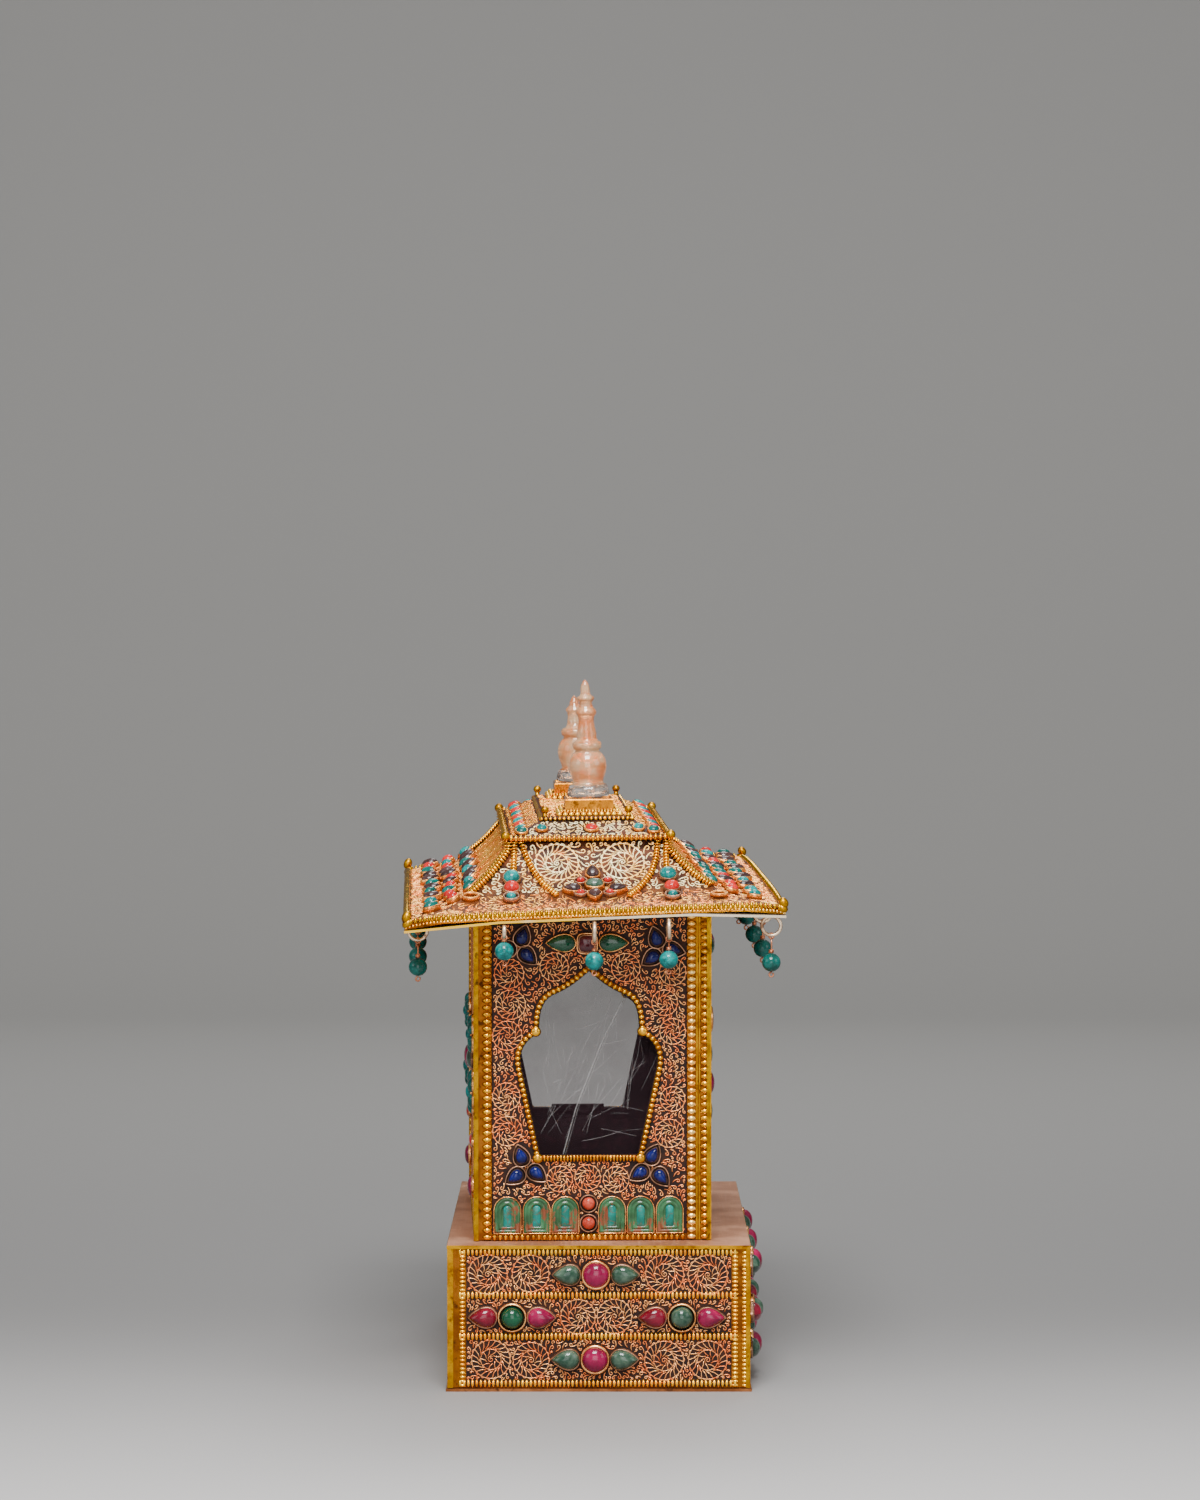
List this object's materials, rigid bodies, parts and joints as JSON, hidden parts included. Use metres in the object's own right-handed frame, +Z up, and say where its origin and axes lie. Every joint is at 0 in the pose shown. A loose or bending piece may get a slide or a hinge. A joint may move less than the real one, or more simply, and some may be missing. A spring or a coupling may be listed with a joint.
{
  "type": "altar box",
  "caption": "Table-top shrine box of gilt copper filigree and stones: low plinth, windowed body and two-tier roof with crystal finials",
  "frame": {"origin": "centre of the underside of the plinth", "axes": "+Z up, -Y the narrow end with the tile row that the picture faces, +X the long side with the large stones on the plinth"},
  "size_m": [0.1714, 0.2542, 0.2997],
  "materials": {
    "copper_sheet": "brushed copper sheet, brown-pink",
    "filigree": "copper wire filigree on sheet",
    "gilt_beads": "gilt beaded wire",
    "gilt_sheet": "gilt sheet",
    "silvered_copper": "pale worn gilding",
    "maroon_lining": "thin maroon-painted board",
    "clear_pane": "clear sheet, lightly scratched",
    "crystal": "turned and faceted rock crystal",
    "turquoise": "polished turquoise with brown veins",
    "coral": "polished red coral",
    "ruby": "glassy ruby-red cabochon",
    "jade": "glassy grey-green cabochon",
    "lapis": "polished lapis blue",
    "garnet": "dark garnet-brown cabochon"
  },
  "bodies": {
    "root": {"base_bead_frame": "gilt_beads", "base_case": "copper_sheet", "base_floor": "copper_sheet", "base_gems_near_bottom": "jade", "base_gems_near_left": "ruby", "base_gems_near_right": "ruby", "base_gems_near_top": "jade", "base_panel_far": "filigree", "base_panel_front": "filigree", "base_panel_near": "filigree", "body_bead_frame": "gilt_beads", "body_case": "copper_sheet", "body_lining": "maroon_lining", "body_panel_back": "filigree", "body_panel_far": "filigree", "body_panel_front": "filigree", "body_panel_near": "filigree", "coral_near_lower": "coral", "coral_near_upper": "coral", "crest_gems_near": "garnet", "drop_back_1": "turquoise", "drop_back_2": "turquoise", "drop_back_3": "turquoise", "drop_back_4": "turquoise", "drop_back_5": "turquoise", "drop_far_1": "turquoise", "drop_far_2": "turquoise", "drop_far_3": "turquoise", "drop_front_1": "turquoise", "drop_front_2": "turquoise", "drop_front_3": "turquoise", "drop_front_4": "turquoise", "drop_front_5": "turquoise", "drop_near_1": "turquoise", "drop_near_2": "turquoise", "drop_near_3": "turquoise", "eave_bead_frame": "gilt_beads", "finial_far": "crystal", "finial_near": "crystal", "finial_socket_far": "gilt_sheet", "finial_socket_near": "gilt_sheet", "lapis_near_1": "lapis", "lapis_near_2": "lapis", "lapis_near_3": "lapis", "lapis_near_4": "lapis", "pane_far": "clear_pane", "pane_front": "clear_pane", "pane_near": "clear_pane", "roof_lower": "filigree", "roof_ridge": "filigree", "roof_soffit": "silvered_copper", "roof_upper": "filigree", "tile_near_1": "turquoise", "tile_near_2": "turquoise", "tile_near_3": "turquoise", "tile_near_4": "turquoise", "tile_near_5": "turquoise", "tile_near_6": "turquoise", "upper_bead_frame": "gilt_beads"}
  },
  "joints": []
}
